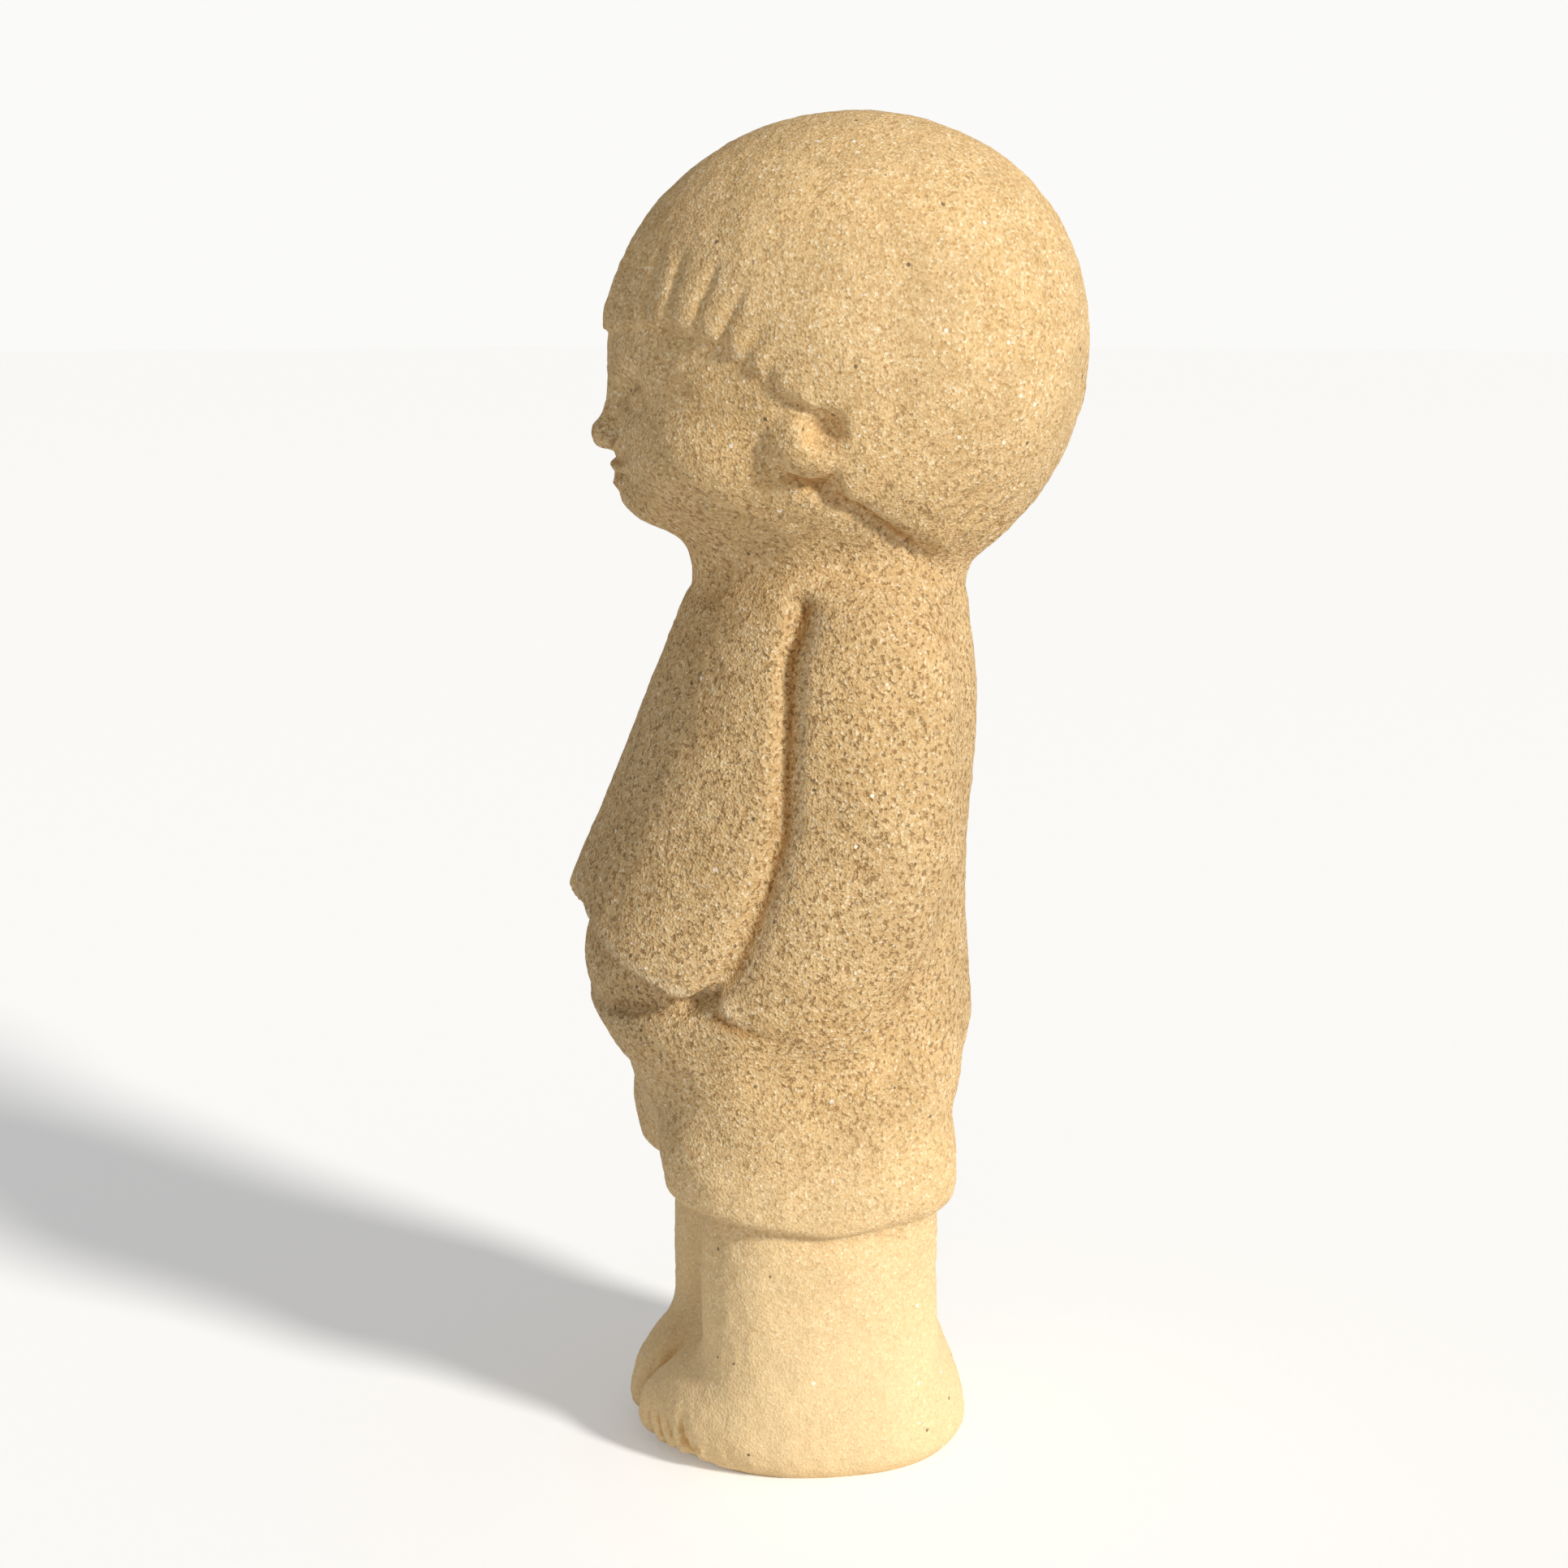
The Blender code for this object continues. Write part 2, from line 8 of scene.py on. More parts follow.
import bmesh
import bpy
import numpy as np
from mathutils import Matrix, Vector


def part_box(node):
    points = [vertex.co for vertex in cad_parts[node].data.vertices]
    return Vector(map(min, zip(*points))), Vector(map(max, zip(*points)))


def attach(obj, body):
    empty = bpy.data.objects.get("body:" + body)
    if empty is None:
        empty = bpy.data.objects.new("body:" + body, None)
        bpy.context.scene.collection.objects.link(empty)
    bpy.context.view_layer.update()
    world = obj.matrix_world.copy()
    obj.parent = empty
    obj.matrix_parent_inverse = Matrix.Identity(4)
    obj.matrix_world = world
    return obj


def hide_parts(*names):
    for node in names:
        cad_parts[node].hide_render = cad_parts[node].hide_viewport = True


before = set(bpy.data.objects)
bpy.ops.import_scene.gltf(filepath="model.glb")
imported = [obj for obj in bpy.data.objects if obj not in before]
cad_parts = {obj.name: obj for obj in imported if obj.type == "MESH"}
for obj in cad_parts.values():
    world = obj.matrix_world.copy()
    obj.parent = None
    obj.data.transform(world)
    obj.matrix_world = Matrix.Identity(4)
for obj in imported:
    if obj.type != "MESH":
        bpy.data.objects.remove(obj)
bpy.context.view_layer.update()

# The height of the solid part sets the scale, and one share is a four-hundredth of it
SHARE = (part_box("boy_statue")[1].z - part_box("boy_statue")[0].z) / 400

# Blank and grid. HEART is the line that the carving works towards: (y, lowest, highest)
BLANK_SIDES = 260
BLANK_RING_STEP = 1.0
BLANK_RADIUS = 86.0
BLANK_RANGE = (-12.0, 404.0)
HEART = (4.0, -8.0, 396.0)
REMESH_GRAIN = 1.5

# Least fillet in a carved corner, so that the facets can follow it
LEAST_FILLET = 1.5

# Head: one round mass of hair, seen from the side almost a ball
HEAD_CENTRE = (0.0, 14.2, 330.0)
HEAD_RADII = (62.5, 71.6, 70.0)
HEAD_POWER = 2.07
HEAD_LEAN = 0.055
HAIR_THICKNESS = 2.6

# Length of one degree of turn on the head
DEGREE = 3.14159 / 180 * (HEAD_RADII[0] + HEAD_RADII[1]) / 2

# Lower edge of the hair: (turn in degrees from the front, height)
HAIR_EDGE = (
    (0, 337.5), (20, 339.5), (40, 340.0), (50, 336.0), (60, 328.0), (67, 323.0), (72, 319.5),
    (76, 313.5), (79, 300.0), (86, 293.0), (98, 285.5), (108, 281.0), (122, 275.0), (145, 268.0),
    (180, 265.0),
)

# Grooves between the locks of the fringe: (turn at the edge, length up, lean of the upper end)
FRINGE_GROOVES = (
    (0.0, 20, 0.0), (6.2, 23, -0.4), (12.4, 21, -1.0), (18.6, 23, -1.5), (25.2, 21, -1.0),
    (33.8, 20, 0.0), (42.5, 18, 3.0), (50.0, 15, 4.0), (56.5, 11, 4.0), (62.0, 8, 4.0),
)
FRINGE_DEPTH = 1.6
FRINGE_WIDTH = 1.7
NOTCH_RISE = 2.4
NOTCH_WIDTH = 1.8

# Grooves in the hair over the nape: turn of each lower end
NAPE_GROOVES = (86, 97, 106, 113, 120, 127, 135, 144, 154, 165)
NAPE_GROOVE_DEPTH = 1.4
NAPE_GROOVE_WIDTH = 1.3

# Crease where the hair ends over the nape: its route, depth and half-width
NAPE_CREASE = ((72, 300.0), (77, 295.5), (85, 292.0), (98, 284.0), (108, 279.5), (122, 273.5), (140, 267))
NAPE_DEPTH = 3.0
NAPE_WIDTH = 2.6

# Rounded masses of the face and ear: (middle, radii)
JAW = ((0.0, -4.0, 306.0), (48.0, 44.5, 24.0))
CHEEK = ((20.0, -25.0, 304.0), (26.0, 24.5, 18.0))
CHIN = ((0.0, -37.0, 291.5), (17.0, 15.0, 9.5))
EYE_SOCKET = ((17.5, -58.0, 322.5), (11.5, 9.5, 7.5))
EYEBALL = ((16.5, -44.6, 320.5), (8.4, 6.6, 5.4))
NOSTRIL = ((4.4, -52.2, 307.0), (3.6, 4.6, 3.3))
UPPER_LIP = ((2.6, -50.6, 299.3), (7.0, 3.9, 2.6))
LOWER_LIP = ((0.0, -50.4, 295.3), (7.4, 4.0, 2.7))
EAR = ((50.6, -7.2, 309.8), (9.4, 12.2, 11.0))
EAR_HOLLOW = ((62.4, -5.0, 313.8), (8.6, 6.8, 6.6))

# Carved lines of the face, seen from the front, and the ridge of the nose: (x, y, z, radius)
UPPER_LID = ((8.0, 319.5), (12.0, 323.0), (17.0, 324.2), (22.0, 322.4), (25.0, 319.0))
LOWER_LID = ((9.0, 318.0), (13.0, 316.4), (18.0, 316.0), (23.0, 317.4))
MOUTH = ((0.0, 297.0), (4.0, 297.5), (9.4, 297.4))
NOSE = ((0.0, -49.5, 324.0, 3.4), (0.0, -53.2, 314.0, 3.6), (0.0, -55.6, 309.0, 4.6))

# Line under the ear, seen from the side
EAR_CREASE = ((-13.0, 300.5), (-6.0, 298.6), (1.0, 300.5))

# Neck, and the jacket over chest and back: (height, front, back, half-width)
NECK_CENTRE = (0.0, 10.0)
NECK_HALF = (38.0, 40.5)
NECK_RANGE = (250.0, 286.0)
JACKET_SECTIONS = (
    (104, -97, 47.5, 48), (120, -90.5, 51.0, 50), (135, -84.2, 53.2, 51), (150, -78.0, 52.0, 51.5),
    (176, -67.2, 50.4, 51.5), (205, -54.6, 51.8, 50.5), (236, -41.8, 53.0, 48.5), (256, -33.7, 50.4, 45),
    (266, -30.0, 48, 42), (276, -26, 44, 37),
)
JACKET_TOP = 262.5
COLLAR_RISE = 0.0088
JACKET_POWER = 2.25

# The open front of the jacket ends in an upside-down V: height at the middle, slope and bend
HEM_PEAK = 176.5
HEM_SLOPE = 0.22
HEM_BEND = 0.0072
BACK_HEM = 113.0

# Arm from the shoulder down to the hand in its pocket: (x, y, z, radius)
ARM_CHAIN = (
    (38.0, 12.5, 243.0, 25.0), (41.5, 12.5, 208.0, 25.5), (42.5, 6.5, 176.0, 26.0),
    (42.0, -5.0, 155.0, 24.5), (39.0, -21.0, 143.0, 17.5), (34.5, -33.0, 138.0, 10.5),
)
ARM_FLATNESS = 0.64
ARM_GROOVE = ((-6, 262), (-11, 248), (-12.5, 225), (-14, 200), (-20, 180), (-28, 161), (-39, 148))
ELBOW_CREASE = ((27, 160), (24, 153), (18, 144), (8, 133))
SHOULDER_CREASE = ((17, 261), (29, 259), (35, 252), (40, 244))
SHOULDER_DEPTH = 0.7
SHOULDER_WIDTH = 2.2

# Belly, trousers and their hems
BELLY_CENTRE = (0.0, -9.0, 153.0)
BELLY_RADII = (47.5, 54.8, 34.0)
HIPS_SECTIONS = (
    (80, -41.2, 42.6, 50.2), (96, -44.2, 43.8, 50.6), (106, -46.0, 45.4, 51.0), (114, -49.0, 47.8, 51),
    (121, -51.4, 48.6, 50.4), (131, -58.0, 46.5, 49.0), (139, -61.9, 45, 48.5), (150, -61.3, 45, 48),
)
HIPS_POWER = 2.6
RIM_HEIGHT = 141.0
SHORTS_MIDDLE = 25.0
SHORTS_HALF_WIDTH = 25.6
SHORTS_FRONT = -41.8
SHORTS_FLARE = 0.2
SHORTS_BACK = 43.4
SHORTS_HEM = 77.0
SHORTS_HEM_RISE = 0.2
SHORTS_HEM_LIFT = 0.03

# Legs and feet
LEG_CENTRE = (24.0, 2.4)
LEG_HALF = (22.2, 35.8)
WEB_CENTRE = (0.0, 4.0)
WEB_HALF = (24.0, 31.0)
WEB_POWER = 5.0
SHIN_FROM = 16.0
FOOT_WIDEST = 8.0
FOOT_POWER = 2.25
FOOT_SECTIONS = (
    (-5, -34, 43, 39), (0, -39.8, 48.8, 44.6), (3, -44.4, 51.4, 47.2), (6, -47.2, 51.8, 48.2),
    (10, -49.8, 51.4, 48.8), (14, -50.4, 50.8, 49.0), (18, -49.4, 49.6, 48.8), (25, -45.2, 47.0, 48.0),
    (32, -38.4, 44.4, 46.8), (37, -34.2, 43.0, 46.2), (43, -30.4, 40.8, 45.4), (52, -28, 40, 44),
)
FOOT_TOP = 42.0

# Cleft between the feet: its depth, and its half-width by height
CLEFT_DEPTH = 9.0
CLEFT_WIDTH = ((0, 2.6), (9, 2.8), (15, 3.4), (20, 4.4), (26, 7.0), (34, 10.0))

# Toes, the great toe first: (x, y, radius)
TOES = ((8.2, -44.4, 6.2), (16.8, -44.0, 3.9), (21.9, -42.3, 3.4), (26.4, -39.3, 3.7), (30.9, -34.9, 3.4))
TOE_HEIGHT = 10.0
TOE_RISE = 7.0
TOE_POWER = 2.3

# Clefts between the toes: depth, half-width, how far forward they start, how high they reach
TOE_CLEFT_DEPTH = 1.8
TOE_CLEFT_WIDTH = 1.2
TOE_CLEFT_FROM = 27.0
TOE_CLEFT_TOP = 15.0
TOE_CLEFT_FADE = 6.0

# Where the arm lies, so that it is worked out only there: (from the middle, lowest, highest)
ARM_RANGE = (12.0, 105.0, 285.0)
ARM_BLEND = 7.0

# Groove between the arm and the jacket, and the crease below it. Fades: (height, range)
GROOVE_DEPTH = 4.2
GROOVE_WIDTH = 3.2
GROOVE_FADE = (148.0, 12.0)
CREASE_DEPTH = 1.1
CREASE_WIDTH = 1.9
CREASE_FADE = (144.0, 16.0)

# Heights where the head alone and the body alone make the surface
HEAD_FROM = 240.0
BODY_TO = 300.0

# Distance given to what isn't near a point
FAR_AWAY = 100.0

# Steps of the carving, and the share of each gap that one step takes
CARVE_STEPS = 16
CARVE_STRIDE = 0.6

# Wear of the surface: (wavelength, height) of its slow and quick waves
RELIEF = ((26.0, 0.10), (11.0, 0.08), (5.0, 0.06), (3.0, 0.05))
RELIEF_WAVES = 40
RELIEF_SEED = 7

# How far in and out the surface is felt to tell hollows from edges
HOLLOW_REACH = 3.0

# Camera, in metres
CAMERA_PLACE = (0.8216, -0.1746, 0.380)
CAMERA_TARGET = (-0.00073, -0.00343, 0.2033)
CAMERA_LENS = 65.74

# Sand grains to a metre, and the specks and flecks: cells to a metre, size and share of cells
GRAINS = 1300.0
SPECKS = 210.0
SPECK_SIZE = 0.13
SPECK_SHARE = 0.08

# Key light: where it comes from, strength and softness
KEY_PLACE = (1.15, 0.95, 0.80)
KEY_LIGHT = 3.2
KEY_SOFTNESS = 0.16
KEY_COLOUR = (1.0, 0.975, 0.93)

# Strength of the white surround, as light and as seen, and what the seen floor gains to match it
SURROUND_LIGHT = 0.36
BACKDROP_LIGHT = 0.97
BACKDROP_COLOUR = (0.99, 0.985, 0.975, 1.0)
FLOOR_GLOW = 0.19
FLOOR_COLOUR = (0.93, 0.93, 0.925, 1.0)
FLOOR_RADIUS = 6.0


def flow(at, knots):
    """Read a smooth curve through knots of (place, value) at many places."""
    places, values = np.array(knots, float).T
    slopes = np.gradient(values, places)
    at = np.clip(at, places[0], places[-1])
    left = np.clip(np.searchsorted(places, at) - 1, 0, len(places) - 2)
    span = places[left + 1] - places[left]
    t = (at - places[left]) / span
    rise = values[left + 1] - values[left]
    start, end = slopes[left] * span, slopes[left + 1] * span
    return values[left] + t * (start + t * (3 * rise - 2 * start - end + t * (start + end - 2 * rise)))


def blend(a, b, softness):
    """Join two masses with a soft fillet."""
    softness = np.maximum(softness, LEAST_FILLET)
    h = np.clip(0.5 + 0.5 * (b - a) / softness, 0, 1)
    return b + (a - b) * h - softness * h * (1 - h)


def limit(a, b, softness):
    """Keep what lies in both masses, with a soft edge."""
    return -blend(-a, -b, softness)


def lump(p, centre, radii, power=2.0):
    """Distance to an ellipsoid, boxier for a higher power."""
    offset = p - np.array(centre, float)
    reach = np.sum(np.abs(offset / radii) ** power, axis=1) ** (1 / power)
    away = np.linalg.norm(offset, axis=1)
    return away - away / np.maximum(reach, 1e-6)


def column(p, centre, half, power=2.0):
    """Distance to an endless upright column; centre and half may vary from point to point."""
    x, y = p[:, 0] - centre[0], p[:, 1] - centre[1]
    reach = (np.abs(x / half[0]) ** power + np.abs(y / half[1]) ** power) ** (1 / power)
    away = np.hypot(x, y)
    return away - away / np.maximum(reach, 1e-6)


def sections(p, rows, power):
    """Distance to a column whose front, back and half-width follow the rows of sections."""
    rows = np.array(rows, float)
    front, back, width = (flow(p[:, 2], rows[:, (0, k)]) for k in (1, 2, 3))
    return column(p, (0.0, (front + back) / 2), (width, (back - front) / 2), power)


def limb(p, chain, flatness):
    """Distance to a smooth chain of round cones of (x, y, z, radius), flattened across X."""
    scale = np.array((1 / flatness, 1.0, 1.0))
    rows = np.array(chain, float)
    marks = np.arange(len(rows))
    fine = np.linspace(0, marks[-1], 16 * marks[-1] + 1)
    x, y, z, radius = (flow(fine, np.column_stack((marks, row))) for row in rows.T)
    joints = np.column_stack((x, y, z))
    nearest, thickness = np.full(len(p), np.inf), np.zeros(len(p))
    for start, end, r0, r1 in zip(joints[:-1], joints[1:], radius[:-1], radius[1:]):
        along = (end - start) * scale
        offset = (p - start) * scale
        t = np.clip(offset @ along / (along @ along), 0, 1)
        away = np.linalg.norm(offset - t[:, None] * along, axis=1)
        thickness = np.where(away < nearest, r0 + (r1 - r0) * t, thickness)
        nearest = np.minimum(nearest, away)
    return nearest - thickness


def stroke(a, b, route, width):
    """Depth, from 0 to 1, of a line carved along a route in a plane."""
    nearest = np.full(len(a), np.inf)
    for (a0, b0), (a1, b1) in zip(route[:-1], route[1:]):
        da, db = a1 - a0, b1 - b0
        t = np.clip(((a - a0) * da + (b - b0) * db) / (da * da + db * db), 0, 1)
        nearest = np.minimum(nearest, np.hypot(a - a0 - t * da, b - b0 - t * db))
    return np.exp(-((nearest / width) ** 2))


def step(value, middle, width):
    """Rise smoothly from 0 to 1 across a middle value."""
    t = np.clip((value - middle) / width + 0.5, 0, 1)
    return t * t * (3 - 2 * t)


def upright(p):
    """Points of the head as they would be if it did not lean back a little."""
    return np.column_stack((p[:, 0], p[:, 1] - HEAD_LEAN * (p[:, 2] - HEAD_CENTRE[2]), p[:, 2]))


def head_turn(p):
    """Angle round the head in degrees: 0 at the front, 90 at either side, 180 behind."""
    x = np.abs(p[:, 0]) / HEAD_RADII[0]
    y = (HEAD_CENTRE[1] - p[:, 1]) / HEAD_RADII[1]
    return np.degrees(np.arctan2(x, y))


def locks(turn, z):
    """Depth of the grooves between the locks, and how far each one notches the hair's edge."""
    depth, notch = np.zeros(len(z)), np.zeros(len(z))
    across = turn * DEGREE
    for at, length, lean in FRINGE_GROOVES:
        foot = float(flow(np.array([at]), HAIR_EDGE)[0])
        route = ((at * DEGREE, foot - 4), (at * DEGREE, foot + 4), ((at + lean) * DEGREE, foot + length))
        depth += FRINGE_DEPTH * stroke(across, z, route, FRINGE_WIDTH) * (1 - step(z, foot + length, 10))
        notch += NOTCH_RISE * np.exp(-(((turn - at) * DEGREE / NOTCH_WIDTH) ** 2))
    for at in NAPE_GROOVES:
        foot = float(flow(np.array([at]), HAIR_EDGE)[0])
        route = ((at * DEGREE, foot - 2), ((at + 6) * DEGREE, foot + 8), ((at + 22) * DEGREE, foot + 22))
        groove = NAPE_GROOVE_DEPTH * stroke(across, z, route, NAPE_GROOVE_WIDTH)
        depth += groove * (1 - step(z, foot + 18, 12))
    return depth, notch


def hair(p):
    """The cap of hair, cut off along its lower edge, with its locks."""
    p = upright(p)
    turn, z = head_turn(p), p[:, 2]
    edge = flow(turn, HAIR_EDGE)
    tilt = (flow(turn + 1, HAIR_EDGE) - flow(turn - 1, HAIR_EDGE)) / 2 / DEGREE
    mass = lump(p, HEAD_CENTRE, HEAD_RADII, HEAD_POWER)
    carved = (z > edge - 12) & (z < edge + 44)
    depth, notch = locks(turn[carved], z[carved])
    mass[carved] += depth
    edge[carved] += notch
    return limit(mass, (edge - z) / np.sqrt(1 + tilt ** 2), 2.2)


def mirrored(p):
    """Points with the right side folded onto the left."""
    return np.column_stack((np.abs(p[:, 0]), p[:, 1], p[:, 2]))


def face(p):
    """A calm child's face of plain proportions, with the skull behind it and the jaw."""
    near = mirrored(p)
    x, y, z = near.T
    skin = tuple(r - HAIR_THICKNESS for r in HEAD_RADII)
    mass = lump(upright(p), HEAD_CENTRE, skin, HEAD_POWER)
    mass = blend(mass, lump(p, *JAW), 7)
    mass = blend(mass, lump(near, *CHEEK), 8)
    mass = blend(mass, lump(p, *CHIN), 7)
    route = [(turn * DEGREE, height) for turn, height in NAPE_CREASE]
    mass = mass + NAPE_DEPTH * stroke(head_turn(upright(p)) * DEGREE, z, route, NAPE_WIDTH)
    mass = limit(mass, -lump(near, *EYE_SOCKET), 5)
    mass = blend(mass, lump(near, *EYEBALL), 1.6)
    front = step(-y, 36, 8)
    mass = mass + front * (stroke(x, z, UPPER_LID, 1.25) + 0.7 * stroke(x, z, LOWER_LID, 1.2))
    mass = blend(mass, limb(p, NOSE, 1.0), 3.5)
    mass = blend(mass, lump(near, *NOSTRIL), 1.8)
    lips = blend(lump(near, *UPPER_LIP), lump(p, *LOWER_LIP), 0.8)
    mass = blend(mass, lips, 1.8)
    return mass + 1.1 * front * stroke(x, z, MOUTH, 1.3)


def ear(p, mass):
    """The ear, half under the hair, with the crease below it."""
    near = mirrored(p)
    mass = blend(mass, lump(near, *EAR), 2.0)
    under = stroke(near[:, 1], near[:, 2], EAR_CREASE, 1.8)
    return mass + 1.4 * under * step(near[:, 0], 46, 6)


def jacket(p):
    """The boxy open jacket, with its neckline, its upside-down V in front and its hem behind."""
    x, y, z = np.abs(p[:, 0]), p[:, 1], p[:, 2]
    mass = sections(p, JACKET_SECTIONS, JACKET_POWER)
    top = JACKET_TOP + COLLAR_RISE * np.minimum(x, 40) ** 2
    mass = limit(mass, z - top, 7)
    mass = mass + 0.9 * np.exp(-(((z - top) / 2.6) ** 2))
    hem = HEM_PEAK - HEM_SLOPE * x - HEM_BEND * x ** 2
    behind = step(y, 8, 50)
    hem = hem + (BACK_HEM - hem) * behind
    return limit(mass, hem - z, 2.3 + 13.5 * behind)


def trousers(p):
    """The trousers: a rim under the belly, the hips, and two short wide legs."""
    near = mirrored(p)
    y, z = near[:, 1], near[:, 2]
    hips = sections(p, HIPS_SECTIONS, HIPS_POWER)
    rim = RIM_HEIGHT + 0.003 * near[:, 0] ** 2
    hips = limit(hips, z - rim, 3.0)
    hips = limit(hips, 96 - 0.006 * near[:, 0] ** 2 - z, 10)
    front = SHORTS_FRONT - SHORTS_FLARE * (z - SHORTS_HEM)
    middle = (SHORTS_MIDDLE, (front + SHORTS_BACK) / 2)
    leg = column(near, middle, (SHORTS_HALF_WIDTH, (SHORTS_BACK - front) / 2), 2.3)
    web = column(p, (0, middle[1]), (SHORTS_MIDDLE, (SHORTS_BACK - front) / 2 - 8))
    leg = blend(leg, web, 4)
    hem = SHORTS_HEM - SHORTS_HEM_RISE * np.minimum(y, 0) + SHORTS_HEM_LIFT * np.maximum(y, 0)
    leg = limit(leg, z - 120, 26)
    leg = limit(leg, hem - z, 3.0 + 6 * step(y, 12, 40))
    return blend(hips, leg, 3)


def toe_clefts(near, mass):
    """Narrow clefts between the toes, from the ground to the toes' tops."""
    x, y, z = near.T
    depth = np.zeros(len(near))
    for inner, outer in zip(TOES, TOES[1:]):
        between = (inner[0] + inner[2] + outer[0] - outer[2]) / 2
        depth += TOE_CLEFT_DEPTH * np.exp(-(((x - between) / TOE_CLEFT_WIDTH) ** 2))
    in_front = step(-y, TOE_CLEFT_FROM, TOE_CLEFT_FADE)
    low = 1 - step(z, TOE_CLEFT_TOP, TOE_CLEFT_FADE)
    return mass + depth * in_front * low


def legs(p):
    """Bare legs and the two feet, which are one broad foot with a cleft in front."""
    near = mirrored(p)
    x, y, z = near.T
    shin = column(near, LEG_CENTRE, LEG_HALF, 2.2)
    shin = blend(shin, column(p, WEB_CENTRE, WEB_HALF, WEB_POWER), 4)
    shin = limit(limit(shin, z - 100, 8), SHIN_FROM - z, 12)
    rows = np.array(FOOT_SECTIONS, float)
    front, back, width = (flow(z, rows[:, (0, k)]) for k in (1, 2, 3))
    length = np.where(y < FOOT_WIDEST, FOOT_WIDEST - front, back - FOOT_WIDEST)
    foot = limit(column(p, (0, FOOT_WIDEST), (width, length), FOOT_POWER), z - FOOT_TOP, 14)
    mass = blend(shin, foot, 5)
    cleft = np.exp(-((x / flow(z, CLEFT_WIDTH)) ** 2)) * step(-y, 27, 20) * (1 - step(z, 50, 28))
    mass = mass + CLEFT_DEPTH * cleft
    toes = np.full(len(p), FAR_AWAY)
    for x_toe, y_toe, radius in TOES:
        toe = lump(near, (x_toe, y_toe, TOE_HEIGHT), (radius, radius, TOE_RISE), TOE_POWER)
        toes = np.minimum(toes, toe)
    return toe_clefts(near, blend(mass, toes, 1.0))


def head(p):
    """Head, hair and neck."""
    mass = blend(ear(p, face(p)), hair(p), 1.2)
    mass = limit(mass, -lump(mirrored(p), *EAR_HOLLOW), 1.8)
    neck = column(p, NECK_CENTRE, NECK_HALF)
    neck = limit(limit(neck, p[:, 2] - NECK_RANGE[1], 10), NECK_RANGE[0] - p[:, 2], 10)
    return blend(mass, neck, 6)


def body(p):
    """Jacket, belly, trousers, arms, legs and feet."""
    near = mirrored(p)
    x, y, z = near.T
    belly = lump(p, BELLY_CENTRE, BELLY_RADII, 2.1)
    mass = blend(belly, trousers(p), 1.0)
    mass = blend(mass, jacket(p), 1.5)
    arm = np.full(len(p), FAR_AWAY)
    close = (x > ARM_RANGE[0]) & (z > ARM_RANGE[1]) & (z < ARM_RANGE[2])
    arm[close] = limb(near[close], ARM_CHAIN, ARM_FLATNESS)
    mass = blend(mass, arm, ARM_BLEND)
    outer = step(x, 30, 10)
    groove = GROOVE_DEPTH * stroke(y, z, ARM_GROOVE, GROOVE_WIDTH) * step(z, *GROOVE_FADE)
    crease = CREASE_DEPTH * stroke(y, z, ELBOW_CREASE, CREASE_WIDTH) * step(z, *CREASE_FADE)
    mass = mass + (groove + crease) * outer
    mass = mass + SHOULDER_DEPTH * stroke(y, z, SHOULDER_CREASE, SHOULDER_WIDTH) * outer
    return blend(mass, legs(p), 1.2)


def figure(p):
    """Signed distance, about, from points in shares to the whole figure's surface."""
    high, low = p[:, 2] > HEAD_FROM, p[:, 2] < BODY_TO
    upper, lower = np.full(len(p), FAR_AWAY), np.full(len(p), FAR_AWAY)
    upper[high] = head(p[high])
    lower[low] = body(p[low])
    return blend(upper, lower, 3.5)


def slope(p, reach=0.15):
    """Gradient of the figure's distance by central differences."""
    columns = []
    for axis in np.eye(3) * reach:
        columns.append((figure(p + axis) - figure(p - axis)) / (2 * reach))
    return np.column_stack(columns)


def settle(p, rounds, longest):
    """Move points onto the figure's surface along its slope."""
    for _ in range(rounds):
        gradient = slope(p)
        steep = np.maximum(np.sum(gradient ** 2, axis=1), 0.2)
        move = -(figure(p) / steep)[:, None] * gradient
        length = np.linalg.norm(move, axis=1)
        p = p + move * np.minimum(1, longest / np.maximum(length, 1e-9))[:, None]
    return p


def read_points(mesh):
    """Vertices of a mesh, in shares."""
    flat = np.empty(len(mesh.vertices) * 3)
    mesh.vertices.foreach_get("co", flat)
    return flat.reshape(-1, 3) / SHARE


def set_points(mesh, points):
    """Give a mesh vertices that are in shares."""
    mesh.vertices.foreach_set("co", (points * SHARE).ravel())
    mesh.update()


def evaluated_copy(thing):
    """Mesh of an object as its modifiers leave it."""
    graph = bpy.context.evaluated_depsgraph_get()
    return bpy.data.meshes.new_from_object(thing.evaluated_get(graph))


def replace_mesh(thing, mesh):
    """Give an object a new mesh and take its modifiers away."""
    old = thing.data
    thing.modifiers.clear()
    thing.data = mesh
    bpy.data.meshes.remove(old)


def turned_blank(collection):
    """A turned block that holds the whole figure, with rings close enough to carve."""
    profile = bmesh.new()
    low, high = BLANK_RANGE
    rings = int((high - low) / BLANK_RING_STEP)
    last = profile.verts.new((0.0, 0.0, high * SHARE))
    for ring in range(rings + 1):
        height = high + (low - high) * ring / rings
        vertex = profile.verts.new((BLANK_RADIUS * SHARE, 0.0, height * SHARE))
        profile.edges.new((last, vertex))
        last = vertex
    bottom = profile.verts.new((0.0, 0.0, low * SHARE))
    profile.edges.new((last, bottom))
    mesh = bpy.data.meshes.new("blank")
    profile.to_mesh(mesh)
    profile.free()
    thing = bpy.data.objects.new("carved_figure", mesh)
    collection.objects.link(thing)
    turn = thing.modifiers.new("turn", "SCREW")
    turn.steps = turn.render_steps = BLANK_SIDES
    turn.use_merge_vertices = True
    turn.merge_threshold = 0.00001
    return thing


